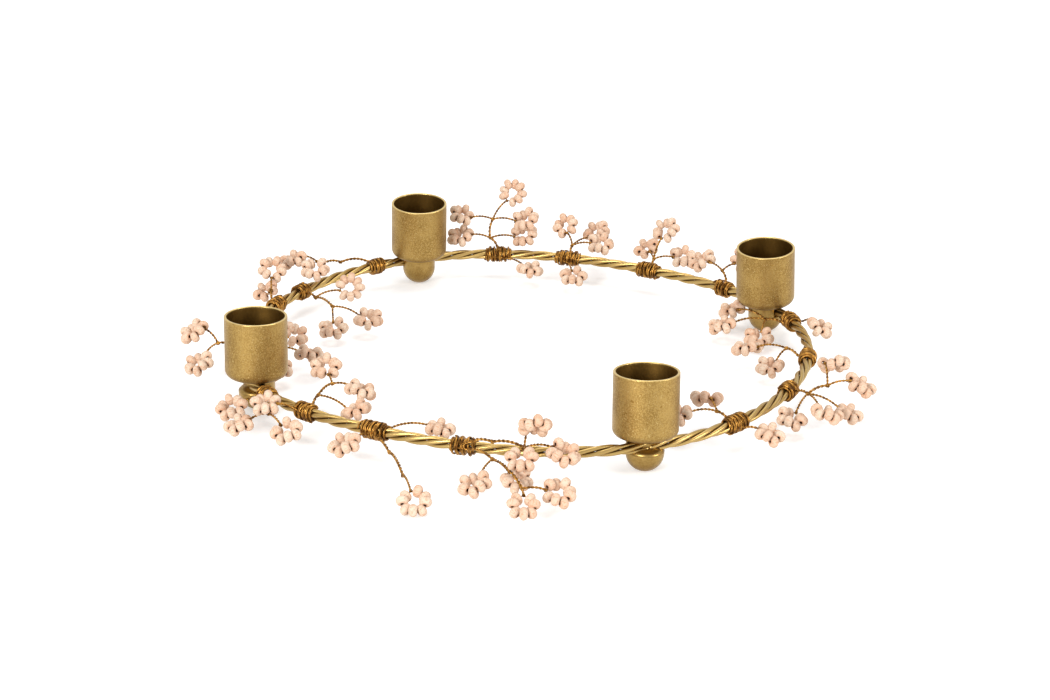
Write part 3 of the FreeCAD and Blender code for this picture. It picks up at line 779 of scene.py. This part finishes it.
def twig_lines(turn_share, forks, loops):
    """Stems and branches as lines, and each bead loop's middle, axis, neck and number of beads."""
    place = ring_frame(2 * math.pi * turn_share)
    centre, along, outward = place
    points = {}
    stems = []
    branches = []
    rings = []
    for name, source, *shares in forks:
        points[name] = twig_point(place, shares)
        if source in points:
            stems.append(bow(points[source], points[name]))
        else:
            start, lead = knot_towards(place, points[name])
            stems.append(np.concatenate((lead[:-1], bow(start, points[name]))))
    for source, part_along, part_out, part_up, lean_along, lean_out, count in loops:
        middle = twig_point(place, (part_along, part_out, part_up))
        axis = unit(UP + along * lean_along + outward * lean_out)
        if source in points:
            start = points[source]
            lead = None
        else:
            start, lead = knot_towards(place, middle)
        towards = start - middle
        towards = unit(towards - axis * (towards @ axis))
        neck = middle + towards * string_radius(count)
        branch = bow(start, neck)
        if lead is not None:
            branch = np.concatenate((lead[:-1], branch))
        branches.append(branch)
        rings.append((middle, axis, towards, neck, neck - start, count))
    return stems, branches, rings


def ring_of_wire(middle, axis, towards, count):
    across = np.cross(axis, towards)
    turn = np.linspace(0, 2 * math.pi, LOOP_POINTS, endpoint=False)[:, None]
    return middle + (towards * np.cos(turn) + across * np.sin(turn)) * string_radius(count)


def add_beads(shape, form, ring, rng):
    """The beads of one loop, each a little different, strung side by side."""
    middle, axis, towards, neck, way, count = ring
    across = np.cross(axis, towards)
    points, faces, hole, near = form
    pitch = 2 * math.pi / (count + NECK_PITCH_SHARE)
    for index in range(count):
        turn = pitch * (index + 1 / 2 + NECK_PITCH_SHARE / 2)
        spoke = towards * math.cos(turn) + across * math.sin(turn)
        threaded = across * math.cos(turn) - towards * math.sin(turn)
        threaded = unit(threaded + axis * rng.uniform(-0.07, 0.07) + spoke * rng.uniform(-0.05, 0.05))
        spin = rng.uniform(0, 2 * math.pi)
        side = unit(np.cross(threaded, spoke * math.cos(spin) + axis * math.sin(spin)))
        turned = np.stack((side, np.cross(threaded, side), threaded))
        scale = np.array((rng.uniform(0.93, 1.0), rng.uniform(0.93, 1.0), rng.uniform(0.94, 1.02)))
        local = points * scale
        local[:, 0] *= 1 + 0.035 * np.sin(local[:, 2] + spin)
        lift = BEAD_STAGGER * (1 if index % 2 else -1) + rng.uniform(-0.2, 0.2)
        place = middle + spoke * (string_radius(count) + rng.uniform(-0.12, 0.12)) + axis * lift
        offset = np.array((rng.uniform(0, 90), rng.uniform(0, 90), rng.uniform(0, 90)))
        tone = np.full(len(points), rng.random())
        shape.add(place + local @ turned, faces, hole=hole, near_hole=near, grain=local + offset, tone=tone)


# Operators


def settings():
    return bpy.context.scene.candle_ring_sizes, bpy.context.scene.candle_ring_colours


def cup_mouths():
    """The side, the middle of the mouth and the axis of each cup, from the record's bores."""
    for mount in frame["record"]["mounts"]:
        if mount["name"].startswith("candle_bore_"):
            side = mount["name"].removeprefix("candle_bore_")
            axis = unit(np.array(mount["axis"]))
            yield side, np.array(mount["pos_m"]) / METRE + axis * CUP_MOUTH_ABOVE_BORE, axis


def dress(node, material):
    """Gives a node of the solid model a finish and leaves its mesh as it is."""
    for slot in frame["nodes"][node].material_slots:
        slot.material = material


class CANDLERING_OT_cups(bpy.types.Operator):
    """Give the four candle cups their satin brass"""

    bl_idname = "candle_ring.cups"
    bl_label = "Finish the cups"

    def execute(self, context):
        colours = context.scene.candle_ring_colours
        for side, mouth, axis in cup_mouths():
            dress("candle_cup_" + side, cup_material("cup_brass_" + side, mouth * METRE, axis, colours))
        return {"FINISHED"}


class CANDLERING_OT_feet(bpy.types.Operator):
    """Give the four domed feet their satin brass"""

    bl_idname = "candle_ring.feet"
    bl_label = "Finish the feet"

    def execute(self, context):
        material = foot_material(context.scene.candle_ring_colours)
        for node in frame["nodes"]:
            if node.startswith("foot_"):
                dress(node, material)
        return {"FINISHED"}


class CANDLERING_OT_braze(bpy.types.Operator):
    """Fill the joint between the ring, each foot and its cup with braze"""

    bl_idname = "candle_ring.braze"
    bl_label = "Braze the joints"

    def execute(self, context):
        material = foot_material(context.scene.candle_ring_colours)
        material.name = "braze_brass"
        for side, mouth, axis in cup_mouths():
            shape = Shape()
            shape.turned(mouth - axis * CUP_AND_FOOT, axis, BRAZE_OUTLINE, BRAZE_SIDES, random.Random(side))
            shape.piece("braze_" + side, material, "foot_brass")
        return {"FINISHED"}


class CANDLERING_OT_ring(bpy.types.Operator):
    """Make the ring's four twisted wires"""

    bl_idname = "candle_ring.ring"
    bl_label = "Make the ring"

    def execute(self, context):
        material = rope_material(context.scene.candle_ring_colours)
        for index in range(STRAND_COUNT):
            line = strand_line(index)
            shape = Shape()
            shape.tube(line, strand_radius(), STRAND_SIDES)
            points = shape.points[0]
            angles = np.arctan2(line[:, 1], line[:, 0])
            centres = np.repeat([ring_point(angle) for angle in angles], STRAND_SIDES, axis=0)
            # How far out each point lies, which sets the painted shade between the wires
            shape.marks["open_side"] = [open_side(points, centres)]
            name = "ring_strand_%d" % (index + 1)
            shape.piece("twisted_wire_%d" % (index + 1), material, "ring_brass", name)
        return {"FINISHED"}


class CANDLERING_OT_bindings(bpy.types.Operator):
    """Wind the thin wire that ties each twig to the ring"""

    bl_idname = "candle_ring.bindings"
    bl_label = "Wind the bindings"

    def execute(self, context):
        material = thin_wire_material("binding_wire", context.scene.candle_ring_colours, 420.0)
        for number, (turn_share, turns, forks, loops) in enumerate(TWIG_SHARES, start=1):
            lines, radius = binding_lines(turn_share, turns, random.Random(number))
            shape = Shape()
            for line in lines:
                shape.tube(line, radius, THIN_SIDES)
            shape.piece("wound_binding_%02d" % number, material, "binding_wire", "binding_%02d" % number)
        return {"FINISHED"}


class CANDLERING_OT_twigs(bpy.types.Operator):
    """Twist the stems and branches of the sixteen twigs"""

    bl_idname = "candle_ring.twigs"
    bl_label = "Twist the twigs"

    def execute(self, context):
        sizes, colours = settings()
        material = thin_wire_material("twig_wire", colours, 500.0)
        stem = sizes.stem_wire / METRE / 2
        branch = sizes.branch_wire / METRE / 2
        loop = sizes.loop_wire / METRE / 2
        for number, (turn_share, turns, forks, loops) in enumerate(TWIG_SHARES, start=1):
            rng = random.Random(100 + number)
            stems, branches, rings = twig_lines(turn_share, forks, loops)
            shape = Shape()
            for line in stems:
                shape.twisted(line, stem, STEM_PITCH, rng.uniform(0, 6))
                way = line[-1] - line[-3]
                shape.wrapped(line[-1], way, stem * WRAP_SHARE, branch * FORK_WIRE_SHARE, FORK_TURNS, rng)
            for line in branches:
                shape.twisted(line, branch, BRANCH_PITCH, rng.uniform(0, 6))
            for middle, axis, towards, neck, way, count in rings:
                shape.tube(ring_of_wire(middle, axis, towards, count), loop, THIN_SIDES, closed=True)
                place = neck + unit(neck - middle) * NECK_WRAP_REACH
                shape.wrapped(place, way, branch * WRAP_SHARE, branch * NECK_WIRE_SHARE, NECK_TURNS, rng)
            shape.piece("twisted_twig_%02d" % number, material, "twig_wire", "twig_wire_%02d" % number)
        return {"FINISHED"}


class CANDLERING_OT_beads(bpy.types.Operator):
    """Thread the wooden beads on the twigs' loops"""

    bl_idname = "candle_ring.beads"
    bl_label = "Thread the beads"

    def execute(self, context):
        material = bead_material(context.scene.candle_ring_colours)
        form = bead_form()
        for number, (turn_share, turns, forks, loops) in enumerate(TWIG_SHARES, start=1):
            rng = random.Random(200 + number)
            shape = Shape()
            for ring in twig_lines(turn_share, forks, loops)[2]:
                add_beads(shape, form, ring, rng)
            shape.piece("threaded_beads_%02d" % number, material, "bead_wood", "twig_beads_%02d" % number)
        return {"FINISHED"}


class CANDLERING_OT_stage(bpy.types.Operator):
    """Set up the floor, the lamps, the background and the camera"""

    bl_idname = "candle_ring.stage"
    bl_label = "Set the stage"

    def execute(self, context):
        scene = context.scene
        make_floor(scene)
        make_background(scene)
        for name, place, width, power in LAMPS:
            lamp = bpy.data.lights.new(name, "AREA")
            lamp.size = width
            lamp.energy = power
            holder = bpy.data.objects.new(name, lamp)
            scene.collection.objects.link(holder)
            holder.location = place
            holder.rotation_euler = (-Vector(place)).to_track_quat("-Z", "Y").to_euler()
            holder.visible_camera = False
        camera = bpy.data.cameras.new("camera")
        camera.sensor_width = SENSOR_WIDTH
        camera.lens = FOCAL_PIXELS / FRAME_WIDTH * SENSOR_WIDTH
        camera.shift_x, camera.shift_y = CAMERA_SHIFT
        camera.clip_start = 0.01
        camera.clip_end = 50
        holder = bpy.data.objects.new("camera", camera)
        scene.collection.objects.link(holder)
        holder.location = Vector(CAMERA_PLACE) * METRE
        holder.rotation_euler = (math.radians(90 - CAMERA_PITCH), 0, 0)
        scene.camera = holder
        scene.view_settings.view_transform = "Standard"
        return {"FINISHED"}


def seen(make):
    """1 for what the camera sees, directly, in gloss or through glass, and 0 for light on the object."""
    rays = ("Is Camera Ray", "Is Glossy Ray", "Is Transmission Ray")
    camera, glossy, through = [make.node("ShaderNodeLightPath", output=name) for name in rays]
    return make.maths("MAXIMUM", make.maths("MAXIMUM", camera, glossy), through)


def make_floor(scene):
    mesh = bpy.data.meshes.new("floor")
    reach = FLOOR_RADIUS
    corners = [(-reach, -reach, 0), (reach, -reach, 0), (reach, reach, 0), (-reach, reach, 0)]
    mesh.from_pydata(corners, [], [(0, 1, 2, 3)])
    floor = bpy.data.objects.new("floor", mesh)
    scene.collection.objects.link(floor)
    material, make = new_material("floor_plain")
    matt = make.node("ShaderNodeBsdfDiffuse", None, {"Color": scene.candle_ring_colours.floor})
    lift = make.node("ShaderNodeEmission", None, {"Strength": seen(make) * FLOOR_LIFT})
    both = make.node("ShaderNodeAddShader", None, {0: matt, 1: lift})
    make.node("ShaderNodeOutputMaterial", None, {"Surface": both})
    mesh.materials.append(material)


def make_background(scene):
    world = bpy.data.worlds.new("studio")
    world.use_nodes = True
    scene.world = world
    make = Finish(world.node_tree)
    strength = seen(make) * (1 - AMBIENT_LEVEL) + AMBIENT_LEVEL
    white = make.node("ShaderNodeBackground", None, {"Color": (1, 1, 1, 1), "Strength": strength})
    make.node("ShaderNodeOutputWorld", None, {"Surface": white})


class CANDLERING_PT_panel(bpy.types.Panel):
    """The candle ring's sizes, colours and steps"""

    bl_idname = "CANDLERING_PT_panel"
    bl_label = "Candle Ring"
    bl_space_type = "VIEW_3D"
    bl_region_type = "UI"
    bl_category = "Candle Ring"

    def draw(self, context):
        for group in (context.scene.candle_ring_sizes, context.scene.candle_ring_colours):
            box = self.layout.box()
            for name in group.__annotations__:
                box.prop(group, name)
        for operator in OPERATORS:
            self.layout.operator(operator.bl_idname)


OPERATORS = (
    CANDLERING_OT_cups,
    CANDLERING_OT_feet,
    CANDLERING_OT_braze,
    CANDLERING_OT_ring,
    CANDLERING_OT_bindings,
    CANDLERING_OT_twigs,
    CANDLERING_OT_beads,
    CANDLERING_OT_stage,
)
CLASSES = (CandleRingSizes, CandleRingColours, *OPERATORS, CANDLERING_PT_panel)


def register():
    for item in CLASSES:
        bpy.utils.register_class(item)
    bpy.types.Scene.candle_ring_sizes = bpy.props.PointerProperty(type=CandleRingSizes)
    bpy.types.Scene.candle_ring_colours = bpy.props.PointerProperty(type=CandleRingColours)


def unregister():
    del bpy.types.Scene.candle_ring_colours
    del bpy.types.Scene.candle_ring_sizes
    for item in reversed(CLASSES):
        bpy.utils.unregister_class(item)


def main():
    register()
    bpy.ops.candle_ring.cups()
    bpy.ops.candle_ring.feet()
    bpy.ops.candle_ring.braze()
    bpy.ops.candle_ring.ring()
    bpy.ops.candle_ring.bindings()
    bpy.ops.candle_ring.twigs()
    bpy.ops.candle_ring.beads()
    bpy.ops.candle_ring.stage()


if __name__ == "__main__":
    main()
